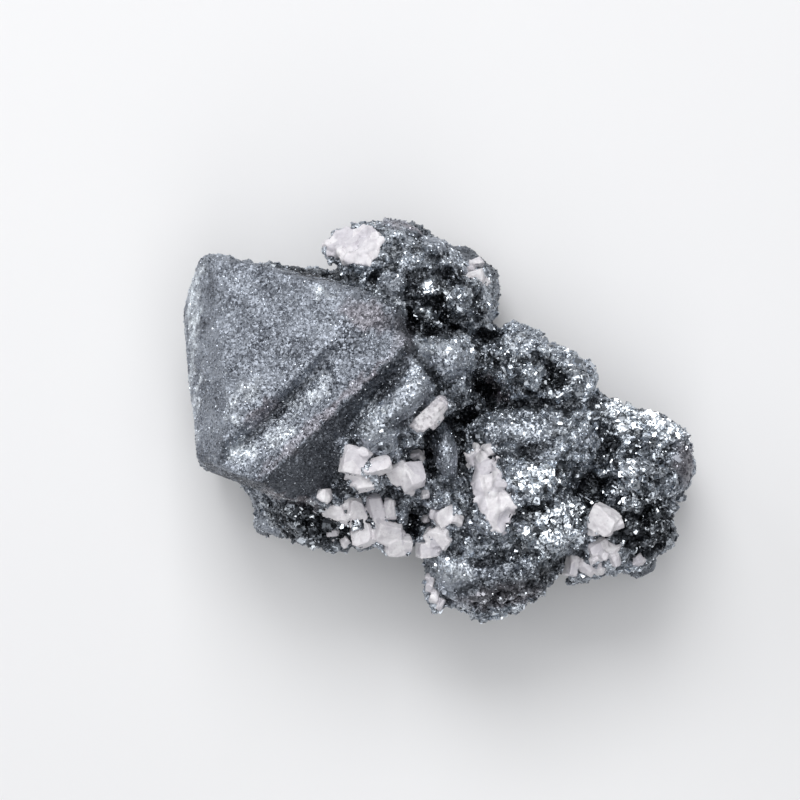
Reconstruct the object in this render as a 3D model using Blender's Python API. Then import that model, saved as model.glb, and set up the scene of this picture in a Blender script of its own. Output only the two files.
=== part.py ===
"""Hematite pseudomorph: a hand specimen of dark iron oxide that kept the octahedral crystals of magnetite.

The specimen lies on its back. +X runs along its length to the knobbly end, +Z points up to the side with
the large crystal's clean faces, and the origin is under the middle of its box, on the surface it rests on.
All the hematite grew together and is one solid. Each group of white crystals sits in it as a solid of its own.
"""

import math
import random

import bmesh
import bpy
from mathutils import Matrix, Vector
from mathutils.bvhtree import BVHTree

MM = 0.001
GAP = 0.3  # mm between a white crystal and the hematite around it
STOCK = 120.0  # mm, the side of the cube that every crystal is cut from
FLOOR_DEPTH = 30.0  # mm, how far the resting cut reaches down
TAPER_FALL = -48  # degrees, how steeply the faces at a block's foot look down
TAPER_BEARINGS = (12, 71, 135, 190, 255, 318)

# Faces of the octahedron in the large crystal's own axes
FRONT = (1, 1, 1)
LOWER_RIGHT = (1, -1, 1)
LEFT = (-1, 1, 1)
TOP = (1, 1, -1)
BOTTOM = (-1, -1, 1)
BACK = (-1, -1, -1)
BACK_LEFT = (-1, 1, -1)
RIGHT = (1, -1, -1)
OCTAHEDRON = (FRONT, LOWER_RIGHT, LEFT, TOP, BOTTOM, BACK, BACK_LEFT, RIGHT)
CORNERS = ((1, 0, 0), (0, 1, 0), (0, 0, 1), (-1, 0, 0), (0, -1, 0), (0, 0, -1))

# Large crystal, in mm and degrees
LARGE_CENTRE = (-10.1, 1.6, 12.0)
LARGE_SPIN, LARGE_LEAN, LARGE_TOWARD = 26.7, 32.4, 142.5
LARGE_REACH = 11.4
STEP_HEIGHT = 0.8
PLATE_TWIST = -6.5  # degrees, from the large crystal's own heading

# Crystals grown over the blocks: how many, their reach from centre to face in mm, and how far they sink in
SEED = 20
LUMPS = {"count": 58, "reach": (1.3, 2.6), "sink": 0.78}
SMALL_ONES = {"count": 105, "reach": (0.55, 1.05), "sink": 0.6}
MOST_STAND = 0.55  # mm, the most by which one stands over the block it grew on
CORNER_REACH = 1.25  # its cut corners, in reaches
ROOM = -0.35  # mm, how far the blocks under them are held back
MOST_TURN = 20.0  # degrees, the most such a crystal is turned from the large one's axes
UNEVEN = (0.8, 1.2)  # its faces' distances, in reaches
CLEAN_MARGIN = 0.25  # mm, how close to a face of the large crystal counts as on it
SAME_WAY = 0.98  # the cosine above which two faces count as looking the same way
FLOOR_MARGIN = 1.2  # mm, none of them this close to the surface it rests on
WHITE_MARGIN = 1.5  # mm, none of them this close to the middle of a white block

# Pits left open between the crystals: middle and reach in mm
PIT_TURN = 35.0  # degrees, from the large crystal's axes
PITS = {
    "right_hollow": (14.4, -7.0, 19.0, 3.0),
    "low_pit": (-2.6, -10.6, 16.5, 1.6),
    "upper_right_hollow": (10.4, 3.2, 20.0, 2.4),
    "crevice": (4.4, 2.2, 18.0, 2.2),
    "dark_notch": (2.0, -0.4, 19.0, 1.9),
}

HEMATITE_COLOUR = (0.075, 0.082, 0.092, 1.0)
WHITE_COLOUR = (0.72, 0.69, 0.70, 1.0)


def clear_scene():
    for thing in list(bpy.data.objects):
        bpy.data.objects.remove(thing, do_unlink=True)


def new_collection(name):
    made = bpy.data.collections.new(name)
    bpy.context.scene.collection.children.link(made)
    return made


def finish(name, colour, metallic, roughness):
    made = bpy.data.materials.new(name)
    made.use_nodes = True
    shader = made.node_tree.nodes["Principled BSDF"]
    shader.inputs["Base Color"].default_value = colour
    shader.inputs["Metallic"].default_value = metallic
    shader.inputs["Roughness"].default_value = roughness
    return made


def crystal_axes(spin, lean, toward):
    """Axes of an octahedron with a face up, spun on the spot, then leaned so that this face looks toward."""
    face_up = Vector((1, 1, 1)).rotation_difference(Vector((0, 0, 1))).to_matrix()
    spun = Matrix.Rotation(math.radians(spin), 3, "Z") @ face_up
    heading = math.radians(toward)
    hinge = Vector((-math.sin(heading), math.cos(heading), 0))
    return Matrix.Rotation(math.radians(lean), 3, hinge) @ spun


def octahedral(axes, reach, changes=None):
    """The eight faces at one distance from the centre, but for those in changes, which may add edge faces."""
    distances = {index: reach for index in OCTAHEDRON}
    distances.update(changes or {})
    return [(axes @ Vector(index).normalized(), away) for index, away in distances.items()]


def facets(*faces):
    """Faces given by the compass bearing and the height above the horizon that each looks to, and a distance."""
    made = []
    for bearing, height, away in faces:
        flat = math.cos(math.radians(height))
        turn = math.radians(bearing)
        normal = Vector((flat * math.cos(turn), flat * math.sin(turn), math.sin(math.radians(height))))
        made.append((normal, away))
    return made


def taper(reach):
    """Faces all round that look down, so that a block narrows towards its foot as a crystal does."""
    return facets(*((bearing, TAPER_FALL, reach) for bearing in TAPER_BEARINGS))


def cut_block(name, centre, faces, home, grow=0.0):
    """A solid cut from a cube by flat faces, each at its distance in mm from the centre."""
    shape = bmesh.new()
    bmesh.ops.create_cube(shape, size=STOCK)
    for normal, away in faces:
        everything = shape.verts[:] + shape.edges[:] + shape.faces[:]
        cut = bmesh.ops.bisect_plane(
            shape, geom=everything, plane_co=normal * (away + grow), plane_no=normal, clear_outer=True
        )
        rim = [part for part in cut["geom_cut"] if isinstance(part, bmesh.types.BMEdge)]
        if rim:
            bmesh.ops.edgeloop_fill(shape, edges=rim)
    bmesh.ops.recalc_face_normals(shape, faces=shape.faces)
    bmesh.ops.scale(shape, vec=(MM, MM, MM), verts=shape.verts)
    mesh = bpy.data.meshes.new(name)
    shape.to_mesh(mesh)
    shape.free()
    thing = bpy.data.objects.new(name, mesh)
    thing.location = Vector(centre) * MM
    home.objects.link(thing)
    return thing


def as_cutter(thing):
    thing.hide_render = True
    thing.display_type = "WIRE"


def combine(thing, home, operation, name):
    """Joins or cuts a solid with every object of a collection."""
    step = thing.modifiers.new(name, "BOOLEAN")
    step.operation = operation
    step.operand_type = "COLLECTION"
    step.collection = home
    step.solver = "MANIFOLD"  # the many crystals cross each other too often for the exact one


# The large crystal
def large_faces():
    """Its own faces, and the worn corners and the place where the neighbours hide it."""
    axes = crystal_axes(LARGE_SPIN, LARGE_LEAN, LARGE_TOWARD)
    body = octahedral(
        axes,
        LARGE_REACH,
        {
            FRONT: LARGE_REACH - STEP_HEIGHT,
            LOWER_RIGHT: 9.9,
            RIGHT: 8.0,
            LEFT: 13.6,
            BOTTOM: 9.3,
            (0, 1, 1): 13.2,
            (0, 1, 0): 18.8,
        },
    )
    return body + facets((-10, 12, 7.2), (243, 8, 11.7), (228, 40, 16.0), (150, 40, 18.0))


def plate_faces():
    """The growth plate on its front face, whose edge is the step that runs across that face."""
    plate_axes = crystal_axes(LARGE_SPIN, LARGE_LEAN, LARGE_TOWARD + PLATE_TWIST)
    plate = octahedral(
        plate_axes,
        LARGE_REACH,
        {LOWER_RIGHT: 6.0, LEFT: 12.0, BOTTOM: 8.8, TOP: 11.0, (0, 1, 1): 13.2, (0, 1, 0): 18.4},
    )
    return plate + facets((-10, 12, 6.2), (243, 8, 11.0), (228, 40, 15.6), (150, 40, 17.4))


# The crystals that grew against the large one and beyond it
def neighbours(home):
    axes = crystal_axes(LARGE_SPIN, LARGE_LEAN, LARGE_TOWARD)
    cut_block("front_plate", LARGE_CENTRE, plate_faces(), home)
    cut_block(
        "second_crystal",
        (-3.9, 1.6, 17.0),
        facets(
            (140, 80, 7.8),
            (-47, 48, 6.4),
            (29, 25, 5.7),
            (225, 20, 7.6),
            (10, 0, 3.4),
            (-45, 5, 4.4),
            (135, 5, 3.6),
            (0, -90, 9.0),
        ),
        home,
    )
    cut_block(
        "third_crystal",
        (-6.6, -2.6, 15.5),
        facets(
            (140, 78, 7.5),
            (-50, 42, 6.1),
            (20, 30, 5.8),
            (225, 25, 5.4),
            (0, 0, 3.6),
            (-60, 5, 4.2),
            (135, 5, 3.0),
            (0, -90, 9.0),
        ),
        home,
    )
    cut_block(
        "middle_crystal",
        (0.4, 4.2, 12.0),
        facets(
            (95, 38, 7.2),
            (-95, 78, 8.6),
            (-40, 35, 6.4),
            (5, 6, 2.9),
            (175, 10, 4.0),
            (88, 0, 3.3),
            (-85, 10, 4.4),
            (0, -90, 7.0),
        ),
        home,
    )
    cut_block(
        "smooth_column",
        (0.1, -3.4, 11.0),
        facets(
            (100, 62, 8.2),
            (-90, 72, 8.0),
            (3, 20, 3.5),
            (183, 20, 3.2),
            (93, 5, 4.0),
            (-87, 5, 4.2),
            (0, -90, 7.0),
        ),
        home,
    )
    cut_block(
        "bottom_ledge",
        (-10.4, -7.0, 8.0),
        facets(
            (-92, 32, 9.4),
            (-95, -4, 5.1),
            (215, 10, 6.7),
            (-90, 75, 9.6),
            (40, 0, 7.5),
            (90, 0, 5.0),
            (-60, 10, 8.2),
            (-90, -38, 6.6),
            (0, -90, 5.0),
        )
        + taper(7.6),
        home,
    )
    cut_block(
        "dark_rim",
        (-13.0, 9.0, 12.0),
        octahedral(axes, 6.0, {FRONT: 4.4, TOP: 4.7, LEFT: 5.4, BACK: 7.0, RIGHT: 6.5}),
        home,
    )


def top_lobe(home):
    cut_block(
        "top_lobe_left",
        (-4.0, 14.5, 9.0),
        facets(
            (105, 12, 4.5),
            (62, 12, 3.9),
            (207, 5, 5.6),
            (121, 14, 5.2),
            (95, 58, 7.6),
            (-92, 36, 5.7),
            (-95, 70, 8.6),
            (-10, 45, 8.4),
            (-90, -30, 6.2),
            (80, -45, 5.6),
            (0, -90, 5.5),
            (0, 0, 7.0),
        )
        + taper(7.0),
        home,
        ROOM,
    )
    cut_block(
        "top_lobe_right",
        (2.4, 11.6, 8.5),
        facets(
            (-5, 8, 3.0),
            (50, 22, 2.9),
            (60, 62, 7.4),
            (-72, 36, 6.2),
            (-75, 72, 8.0),
            (180, 0, 5.5),
            (92, 10, 4.8),
            (-90, -10, 5.6),
            (60, -50, 6.0),
            (0, -90, 5.5),
        )
        + taper(6.0),
        home,
        ROOM,
    )


def right_mass(home):
    cut_block(
        "upper_right_left_lump",
        (7.4, 4.4, 9.0),
        facets(
            (80, 40, 6.6),
            (-100, 60, 8.6),
            (10, 45, 7.6),
            (178, 12, 2.9),
            (60, 8, 2.7),
            (130, 5, 3.2),
            (-90, 5, 4.6),
            (0, 0, 3.2),
            (0, -90, 5.5),
        )
        + taper(6.4),
        home,
        ROOM,
    )
    cut_block(
        "upper_right_right_lump",
        (12.2, 3.2, 8.5),
        facets(
            (75, 42, 6.6),
            (-80, 62, 7.8),
            (150, 40, 6.6),
            (20, 30, 4.6),
            (80, 6, 3.1),
            (57, 4, 2.7),
            (14, 0, 2.7),
            (180, 0, 3.4),
            (-90, 5, 4.6),
            (0, -90, 5.5),
        )
        + taper(6.2),
        home,
        ROOM,
    )
    cut_block(
        "inner_block",
        (8.2, -5.6, 10.0),
        facets(
            (96, 50, 9.0),
            (-84, 76, 10.6),
            (-90, 34, 9.8),
            (-8, 44, 9.2),
            (160, 40, 9.0),
            (184, 14, 7.6),
            (92, 2, 6.6),
            (-88, -4, 7.4),
            (-5, 2, 8.6),
            (-90, -44, 9.4),
            (90, -48, 9.4),
            (180, -50, 9.4),
        )
        + taper(9.8),
        home,
        ROOM,
    )
    cut_block(
        "right_block",
        (17.4, -5.0, 8.4),
        facets(
            (72, 46, 7.5),
            (25, 74, 7.8),
            (-28, 22, 6.9),
            (-55, 34, 7.9),
            (69, 4, 5.8),
            (21, 4, 7.2),
            (0, 0, 7.6),
            (-41, 2, 6.7),
            (-90, 6, 6.6),
            (185, 0, 7.0),
            (-30, -42, 7.4),
            (60, -44, 7.0),
            (-90, -40, 8.0),
        )
        + taper(8.2),
        home,
        ROOM,
    )
    cut_block(
        "right_low_block",
        (17.0, -9.6, 7.4),
        facets(
            (-45, 46, 7.4),
            (-120, 60, 8.4),
            (-5, 0, 5.3),
            (-53, 0, 5.6),
            (-76, 0, 5.9),
            (180, 0, 5.0),
            (90, 0, 5.0),
            (-40, -42, 6.6),
            (0, -90, 7.4),
        )
        + taper(6.4),
        home,
        ROOM,
    )
    cut_block(
        "silver_lump",
        (10.4, -10.6, 12.0),
        facets(
            (70, 66, 8.2),
            (-110, 66, 7.6),
            (-60, 30, 5.0),
            (-150, 34, 5.2),
            (20, 40, 5.0),
            (160, 40, 5.6),
            (-66, -4, 4.6),
            (0, 0, 4.6),
            (180, 0, 5.0),
            (90, 10, 4.6),
            (0, -90, 7.0),
        )
        + taper(9.0),
        home,
        ROOM,
    )
    cut_block(
        "lower_crystal",
        (4.6, -12.6, 8.6),
        facets(
            (-88, 42, 8.6),
            (-160, 66, 8.6),
            (60, 72, 9.0),
            (183, 6, 6.4),
            (-89, 0, 6.9),
            (233, 4, 7.1),
            (-49, 2, 7.0),
            (10, 20, 7.0),
            (90, 0, 6.0),
            (-90, -40, 7.0),
            (200, -40, 7.0),
            (0, -90, 8.0),
        )
        + taper(7.8),
        home,
        ROOM,
    )
    cut_block(
        "core",
        (4.0, -1.6, 7.0),
        facets(
            (80, 40, 6.6),
            (-90, 70, 5.4),
            (0, 30, 9.6),
            (180, 10, 9.0),
            (90, 0, 7.4),
            (-90, 0, 9.5),
            (0, 0, 11.0),
            (45, 0, 8.0),
            (-45, 0, 11.0),
            (-90, -40, 9.4),
            (90, -40, 8.0),
            (0, -42, 10.0),
            (180, -42, 9.6),
        )
        + taper(8.6),
        home,
        ROOM,
    )


# White crystals: each group is one solid, of blocks given by the middle and size in mm and a turn in degrees
WHITE_THICKNESS = 1.5
WHITE_STAND = 0.35  # mm, how far a block's middle stands over the hematite
WHITE_STEP = 0.8  # mm, the most by which neighbouring blocks of a group differ in height
WHITE_TILT = (4, 16)  # degrees, how far the tops tilt, from and to
WHITE_LEAN = 9  # degrees, how far the end faces lean
WHITE_SIDE = 83  # degrees, from an end face round to a side face
WHITE_SIDE_LEAN = 6
WHITE_GROUPS = {
    "white_top_patch": (
        (-10.0, 15.8, 2.4, 1.9, 30),
        (-8.7, 16.6, 2.8, 2.6, 20),
        (-7.1, 16.8, 2.8, 2.7, 0),
        (-6.6, 15.6, 2.3, 2.4, 40),
        (-8.3, 14.9, 2.9, 2.1, 15),
    ),
    "white_top_chunk": ((3.2, 13.4, 1.9, 2.3, 25),),
    "white_blade": ((-1.2, -0.2, 4.2, 1.4, 42),),
    "white_upper_left": (
        (-8.2, -4.1, 2.2, 2.5, 10),
        (-6.8, -4.9, 2.6, 1.6, -20),
        (-7.4, -6.2, 2.2, 1.7, 25),
    ),
    "white_middle_left": (
        (-4.0, -5.5, 1.9, 2.0, 30),
        (-3.0, -5.4, 1.6, 2.4, -15),
        (-3.4, -6.6, 2.2, 1.5, 20),
        (-2.6, -4.0, 1.6, 1.4, 5),
    ),
    "white_low_row": (
        (-11.2, -7.9, 1.9, 1.3, 10),
        (-10.4, -9.3, 2.3, 2.5, 35),
        (-8.3, -9.2, 1.7, 2.6, -10),
        (-7.2, -11.0, 2.0, 2.4, 15),
        (-5.9, -9.0, 2.3, 2.1, 40),
        (-4.9, -10.2, 2.6, 2.7, -25),
        (-4.3, -12.2, 2.3, 2.0, 5),
    ),
    "white_lower_middle": (
        (1.1, -9.9, 1.8, 2.0, 40),
        (-0.1, -10.0, 1.9, 2.0, 10),
        (0.2, -11.2, 1.9, 1.7, -20),
        (-1.0, -12.2, 2.1, 2.6, 25),
    ),
    "white_centre": (
        (2.8, -3.7, 1.4, 1.5, 10),
        (4.2, -5.1, 2.5, 2.6, 35),
        (4.4, -7.1, 3.0, 2.5, -10),
        (5.5, -8.3, 2.5, 2.2, 20),
        (4.9, -10.0, 1.8, 2.6, 5),
    ),
    "white_front_sliver": (
        (-0.8, -16.4, 1.4, 3.0, -12),
        (-0.1, -17.8, 1.8, 1.6, 15),
    ),
    "white_right_upper": ((15.4, -9.9, 2.8, 2.3, -25),),
    "white_right_lower": (
        (16.0, -12.7, 2.0, 2.2, -20),
        (14.6, -12.7, 1.9, 2.0, 30),
        (15.4, -14.0, 2.4, 1.6, 5),
        (13.5, -14.6, 2.2, 1.4, 20),
        (12.1, -14.4, 1.5, 1.8, -15),
    ),
}


def joined_shape(thing):
    """The solid with its joins made, to be measured from."""
    seen = thing.evaluated_get(bpy.context.evaluated_depsgraph_get())
    shape = bmesh.new()
    shape.from_mesh(seen.to_mesh())
    seen.to_mesh_clear()
    shape.transform(thing.matrix_world)
    bmesh.ops.scale(shape, vec=(1 / MM, 1 / MM, 1 / MM), verts=shape.verts)
    bmesh.ops.triangulate(shape, faces=shape.faces)
    return shape


def on_clean_face(point, normal, clean):
    """Whether a point lies on one of the large crystal's own faces."""
    offset = point - Vector(LARGE_CENTRE)
    return any(
        normal.dot(face) > SAME_WAY and offset.dot(face) > away - CLEAN_MARGIN for face, away in clean
    )


def near_white(point, reach):
    spots = [block[:2] for group in WHITE_GROUPS.values() for block in group]
    margin = WHITE_MARGIN + reach / 2
    return any((point.xy - Vector(spot)).length < margin for spot in spots)


def grow_over(core, kind, clean, home, seed):
    """Octahedra that stand partly out of the joined solid, nearly parallel to the large crystal."""
    dice = random.Random(seed)
    shape = joined_shape(core)
    areas = [face.calc_area() for face in shape.faces]
    axes = crystal_axes(LARGE_SPIN, LARGE_LEAN, LARGE_TOWARD)
    made = 0
    while made < kind["count"]:
        face = dice.choices(shape.faces[:], areas)[0]
        corners = [corner.co for corner in face.verts]
        across, along = sorted((dice.random(), dice.random()))
        point = corners[0] * across + corners[1] * (along - across) + corners[2] * (1 - along)
        reach = dice.uniform(*kind["reach"])
        if point.z < FLOOR_MARGIN + reach or near_white(point, reach) or on_clean_face(point, face.normal, clean):
            continue
        hinge = Vector((dice.random(), dice.random(), 1))
        turn = Matrix.Rotation(math.radians(dice.uniform(-MOST_TURN, MOST_TURN)), 3, hinge)
        centre = point - face.normal * (reach * kind["sink"])
        own = {index: reach * dice.uniform(*UNEVEN) for index in OCTAHEDRON}
        own.update({corner: reach * CORNER_REACH for corner in CORNERS})
        stand = (face.normal, reach * kind["sink"] + dice.uniform(0.5, 1.0) * MOST_STAND)
        cut_block(f"{home.name}_{made + 1}", centre, octahedral(turn @ axes, reach, own) + [stand], home)
        made += 1
    shape.free()


def pits(home):
    axes = crystal_axes(LARGE_SPIN + PIT_TURN, LARGE_LEAN, LARGE_TOWARD)
    for name, (x, y, z, reach) in PITS.items():
        cut_block(name, (x, y, z), octahedral(axes, reach), home)


def keep_main_body(thing):
    """Makes the joins and cuts final and drops the chips that the seats cut loose."""
    whole = thing.evaluated_get(bpy.context.evaluated_depsgraph_get())
    mesh = bpy.data.meshes.new_from_object(whole)
    thing.modifiers.clear()
    thing.data = mesh
    shape = bmesh.new()
    shape.from_mesh(mesh)
    unseen = set(shape.faces)
    bodies = []
    while unseen:
        front = [unseen.pop()]
        body = set(front)
        while front:
            face = front.pop()
            for edge in face.edges:
                for other in edge.link_faces:
                    if other in unseen:
                        unseen.discard(other)
                        body.add(other)
                        front.append(other)
        bodies.append(body)
    bodies.sort(key=len)
    for chip in bodies[:-1]:
        bmesh.ops.delete(shape, geom=list(chip), context="FACES")
    shape.to_mesh(mesh)
    shape.free()


def white_block(name, spot, size, turn, tilt, home, grow):
    """A cleavage block: its sides lean a little, and one corner is broken off."""
    length, width = size
    faces = facets(
        (turn, WHITE_LEAN, length / 2),
        (turn + 180, -WHITE_LEAN, length / 2),
        (turn + WHITE_SIDE, WHITE_SIDE_LEAN, width / 2),
        (turn + 180 + WHITE_SIDE, -WHITE_SIDE_LEAN, width / 2),
        (turn + tilt * 7, 90 - tilt, WHITE_THICKNESS / 2),
        (0, -90, WHITE_THICKNESS),
        (turn + 40, 30, (length + width) / 4),
    )
    return cut_block(name, spot, faces, home, grow)


def white_crystals(cluster, specimen, sockets):
    """Each group as one solid, and a slightly larger copy of its blocks that cuts its seat."""
    dice = random.Random(SEED + 1)
    shape = joined_shape(cluster)
    surface = BVHTree.FromBMesh(shape)
    white = finish("white_mineral", WHITE_COLOUR, 0.0, 0.45)
    for name, blocks in WHITE_GROUPS.items():
        seat = new_collection(name + "_blocks")
        top = None
        first = None
        for x, y, length, width, turn in blocks:
            hit = surface.ray_cast(Vector((x, y, STOCK)), Vector((0, 0, -1)))
            under = hit[0].z if hit[0] else top
            top = under if top is None else min(max(under, top - WHITE_STEP), top + WHITE_STEP)
            spot = (x, y, top + WHITE_STAND)
            tilt = dice.uniform(*WHITE_TILT)
            home = seat if first else specimen
            block = white_block(name, spot, (length, width), turn, tilt, home, 0.0)
            first = first or block
            as_cutter(white_block(name + "_seat", spot, (length, width), turn, tilt, sockets, GAP))
        for extra in seat.objects:
            as_cutter(extra)
        first.name = name
        first.data.materials.append(white)
        if seat.objects:
            combine(first, seat, "UNION", "grown_together")
    shape.free()


def centre_over_origin(specimen):
    """Slides everything level until the middle of the specimen's box is over the origin."""
    spots = []
    for thing in specimen.objects:
        shape = joined_shape(thing)
        spots += [corner.co.copy() for corner in shape.verts]
        shape.free()
    middle = Vector((0, 0, 0))
    for axis in (0, 1):
        along = [spot[axis] for spot in spots]
        middle[axis] = (min(along) + max(along)) / 2
    for thing in bpy.data.objects:
        thing.location -= middle * MM


def main():
    clear_scene()
    specimen = new_collection("hematite_pseudomorph")
    growths = new_collection("growths")
    body = cut_block("hematite_cluster", LARGE_CENTRE, large_faces(), specimen)
    neighbours(growths)
    top_lobe(growths)
    right_mass(growths)
    for thing in growths.objects:
        as_cutter(thing)
    body.data.materials.append(finish("hematite", HEMATITE_COLOUR, 0.85, 0.42))
    combine(body, growths, "UNION", "grown_together")

    clean = large_faces() + plate_faces()
    for kind, name in ((LUMPS, "lump"), (SMALL_ONES, "small_crystal")):
        home = new_collection(name)
        grow_over(body, kind, clean, home, SEED)
        for thing in home.objects:
            as_cutter(thing)
        combine(body, home, "UNION", name)

    openings = new_collection("openings")
    pits(openings)
    cut_block(
        "floor_cut", (0, 0, -FLOOR_DEPTH), facets((0, 90, FLOOR_DEPTH), (0, -90, FLOOR_DEPTH)), openings
    )
    for thing in openings.objects:
        as_cutter(thing)
    combine(body, openings, "DIFFERENCE", "pits_and_flat_rest")

    seats = new_collection("seats")
    white_crystals(body, specimen, seats)
    combine(body, seats, "DIFFERENCE", "seats")
    keep_main_body(body)
    centre_over_origin(specimen)


main()
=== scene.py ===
"""Looks of a hematite pseudomorph that lies on a pale floor in soft light.

Worn octahedral crystals stand under a skin of fine shining grains, and a white mineral has grown between them.
Lengths are in millimetres. A piece is modelled in millimetres and brought to metres in its mesh when it is done.
"""

import math

import bpy
import numpy as np
from mathutils import Matrix, Vector, noise
from mathutils.bvhtree import BVHTree


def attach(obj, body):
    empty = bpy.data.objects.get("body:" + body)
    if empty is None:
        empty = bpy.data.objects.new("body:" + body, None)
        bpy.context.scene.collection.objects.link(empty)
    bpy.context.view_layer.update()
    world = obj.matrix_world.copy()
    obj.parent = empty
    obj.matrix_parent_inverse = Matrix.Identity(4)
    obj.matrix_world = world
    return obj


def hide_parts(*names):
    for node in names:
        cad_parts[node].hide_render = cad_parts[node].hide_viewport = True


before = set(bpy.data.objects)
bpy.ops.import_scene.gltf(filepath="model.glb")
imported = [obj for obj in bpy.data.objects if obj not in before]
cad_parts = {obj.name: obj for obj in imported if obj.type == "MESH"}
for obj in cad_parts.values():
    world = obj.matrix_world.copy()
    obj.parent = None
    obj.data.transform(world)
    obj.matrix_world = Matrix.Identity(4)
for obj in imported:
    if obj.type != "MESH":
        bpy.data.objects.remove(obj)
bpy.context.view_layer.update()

MM = 0.001
BODY = "root"

# Camera, straight over the specimen
CAMERA_PLACE = (-3.783, 1.679, 396.0)
LENS = 180.0
SENSOR = 36.0

# Soft boxes: bearing and height in degrees, distance and side in mm, and power in watts
KEY_LIGHT = {"bearing": 100, "height": 52, "away": 600, "side": 300, "power": 1.9}
TOP_LIGHT = {"bearing": 20, "height": 86, "away": 820, "side": 760, "power": 2.8}
LEFT_LIGHT = {"bearing": 150, "height": 28, "away": 700, "side": 400, "power": 1.1}
FRONT_LIGHT = {"bearing": -80, "height": 50, "away": 800, "side": 500, "power": 0.9}
ROOM_LIGHT = (0.135, 0.140, 0.150)
FLOOR_REACH = 900.0
COVE = ((960, 8), (1010, 34), (1045, 80), (1060, 150), (1064, 260))  # mm, reach and height of the floor's rising rim
FLOOR_COLOUR = (0.84, 0.84, 0.85, 1.0)

# The large crystal's outline, seen from above
LARGE_OUTLINE = (
    (-23.2, 15.8), (-24.9, 13.2), (-24.6, 2.9), (-23.6, -3.2), (-22.0, -6.0), (-17.1, -7.3),
    (-11.2, -8.8), (-9.8, -4.9), (-8.5, -1.8), (-7.2, 0.0), (-2.6, 4.9), (-2.2, 7.8),
    (-4.0, 10.4), (-7.0, 12.1), (-10.8, 13.4), (-16.3, 14.7),
)
LARGE_FOOT = 5.0  # below this height it is as rough as the rest
SHADED_BEARING = -50  # the bearing that its faces look to which get painted shade, in degrees
# how much painted shade those faces get
SHADED_SHARE = 0.62
STEP = (-15.0, 1.5, 8.0, 1.7, 43.5)  # its step, where the painted shade is mostly lifted: middle, half length, half width and turn
STEP_LIGHTER = 0.9

# Painted shade darkens the hollows between the knobs, and a painted highlight brightens their tops
HOLLOW_REACH = 50  # rounds of smoothing that a point's depth is measured against
HOLLOW_FROM, HOLLOW_TO = 0.0, 0.22  # mm
HOLLOW_PAINTED_SHADE = 0.7
HOLLOW_ON_CRYSTAL = 0.15  # as a share of that, on the large crystal
TOP_PAINTED_HIGHLIGHT = 0.35

# The large crystal's faces near its step: the way that each looks, and its distance from the middle
CRYSTAL_MIDDLE = (-9.893, 1.854, 12.0)
FRONT_FACE = ((-0.4253, 0.3263, 0.8442), 10.6)
PLATE_FACE = ((-0.3854, 0.3722, 0.8444), 11.4)
RISER_FACE = ((0.3935, -0.4783, 0.7851), 6.0)
LOW_FACE = ((0.3714, -0.5069, 0.7779), 9.9)
BAND_DROP = 0.6  # how far the band between the step and the crest is sunk
LOW_RISE = 0.5  # how far the lower face is raised, which brings the crest outwards
BAND_REGION = (
    (-8.6, 9.4), (-20.6, -1.6), (-21.4, -4.4), (-19.5, -5.6), (-16.5, -6.4), (-11.0, -6.6), (-9.4, -2.8),
    (-8.8, -2.2), (-7.5, -0.4), (-5.7, 1.5), (-2.7, 4.7), (-2.9, 7.4), (-4.2, 8.8),
)
BAND_END = (-8.4, 8.6, 3.0, 1.5, 43)  # where the step fades out: middle, half length, half width and turn

# Lower down, patches of the knobbly growth are calmer or darker
LOW_PATCH = 4.5  # mm
LOW_CALM = 0.9
LOW_DARK = 0.5
LOW_CHUNKS = 1.1  # how far the coarser lumps stand out there, in mm

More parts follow.
